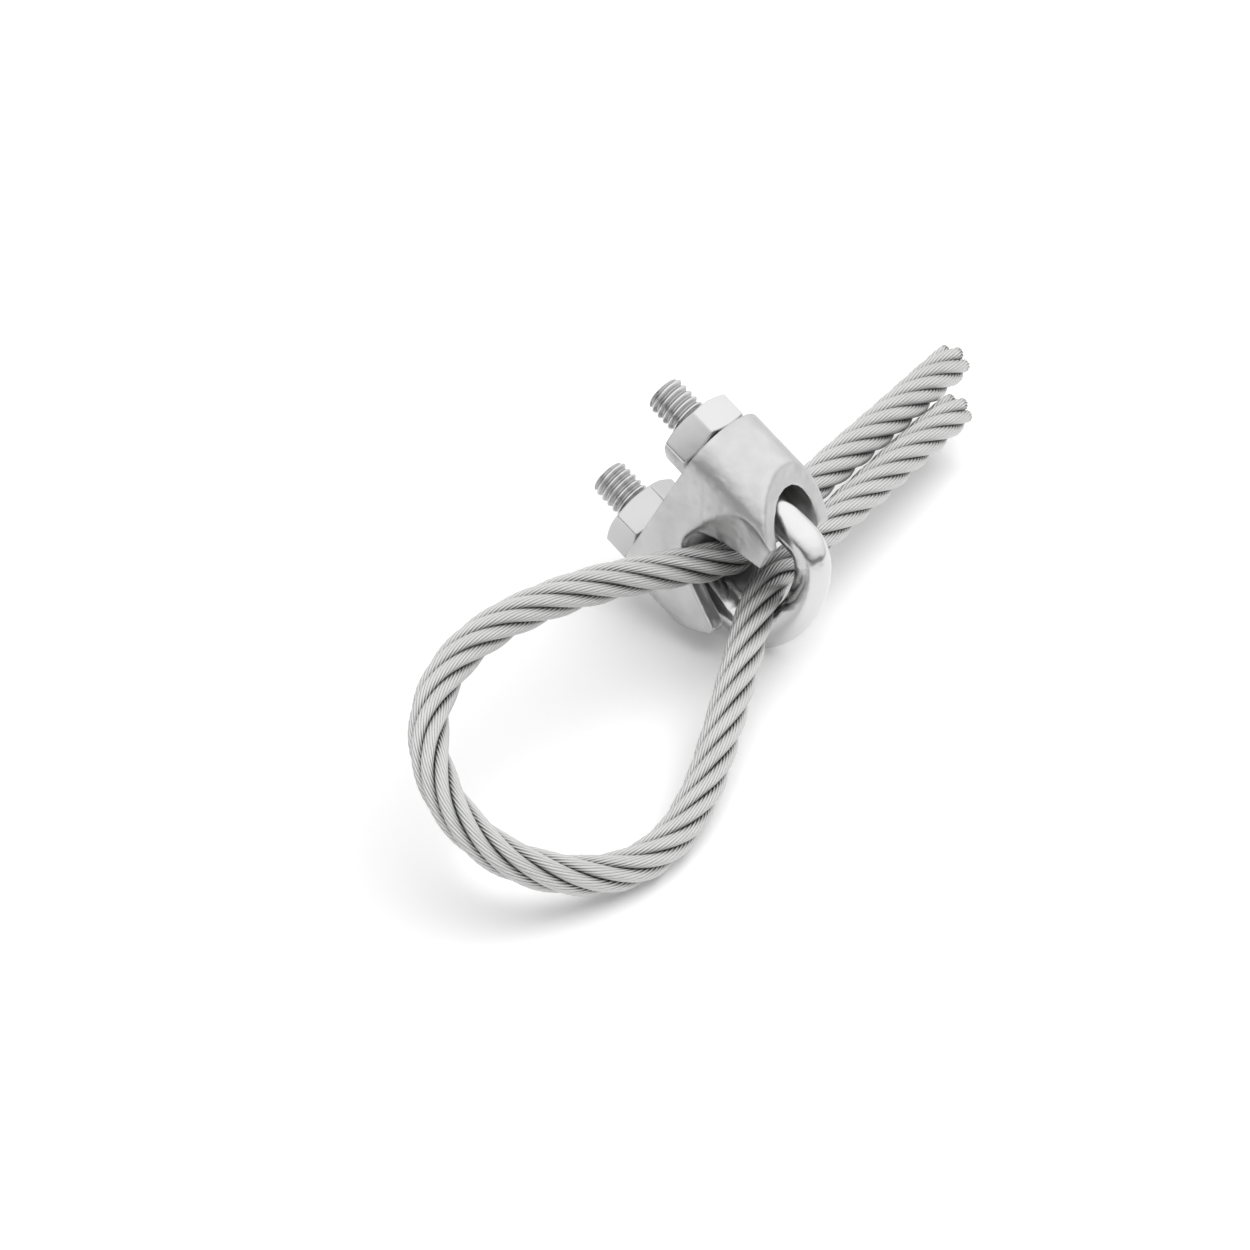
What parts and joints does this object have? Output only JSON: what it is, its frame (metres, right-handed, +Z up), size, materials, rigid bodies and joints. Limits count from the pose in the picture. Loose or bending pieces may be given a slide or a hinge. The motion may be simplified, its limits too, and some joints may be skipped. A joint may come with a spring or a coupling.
{
  "type": "wire rope clip",
  "caption": "Wire rope clip: a U-bolt, a cast saddle and hexagon nuts clamp the soft eye turned in the end of a stranded steel rope.",
  "frame": {"origin": "on the ground plane, under the middle of the clip's own bounding box, without the rope", "axes": "+Z up, with the clip lying on its side; the rope eye lies towards -X and the free ends of the rope towards +X; the bolt legs point to +Y and upwards, 27.7 degrees above level"},
  "size_m": [0.1936, 0.0737, 0.0487],
  "materials": {
    "bolt": "bright drawn stainless rod with rolled threads",
    "saddle": "satin investment-cast stainless steel",
    "nut": "bright turned and chamfered stainless steel",
    "rope": "clean drawn steel wire laid in strands"
  },
  "bodies": {
    "bolt": {"u_bolt": "bolt", "wire_rope": "rope"},
    "saddle": {"saddle": "saddle"},
    "nut_1": {"nut_1": "nut"},
    "nut_2": {"nut_2": "nut"}
  },
  "joints": [
    {"name": "saddle_slide", "type": "slide", "parent": "bolt", "child": "saddle", "axis": [0.0481, 0.8838, 0.4655], "range_m": [0, 0.0075]},
    {"name": "nut_1_turn", "type": "hinge", "parent": "saddle", "child": "nut_1", "pos_m": [0.00174, 0.00061, 0.03828], "axis": [0.0481, 0.8838, 0.4655], "range_deg": [0, 1800]},
    {"name": "nut_2_turn", "type": "hinge", "parent": "saddle", "child": "nut_2", "pos_m": [-0.0006, 0.01268, 0.0156], "axis": [0.0481, 0.8838, 0.4655], "range_deg": [0, 1800]}
  ],
  "couplings": [
    {"joint": "nut_1_turn", "follows": "saddle_slide", "rad_per_m": 4188.8},
    {"joint": "nut_2_turn", "follows": "saddle_slide", "rad_per_m": 4188.8}
  ]
}
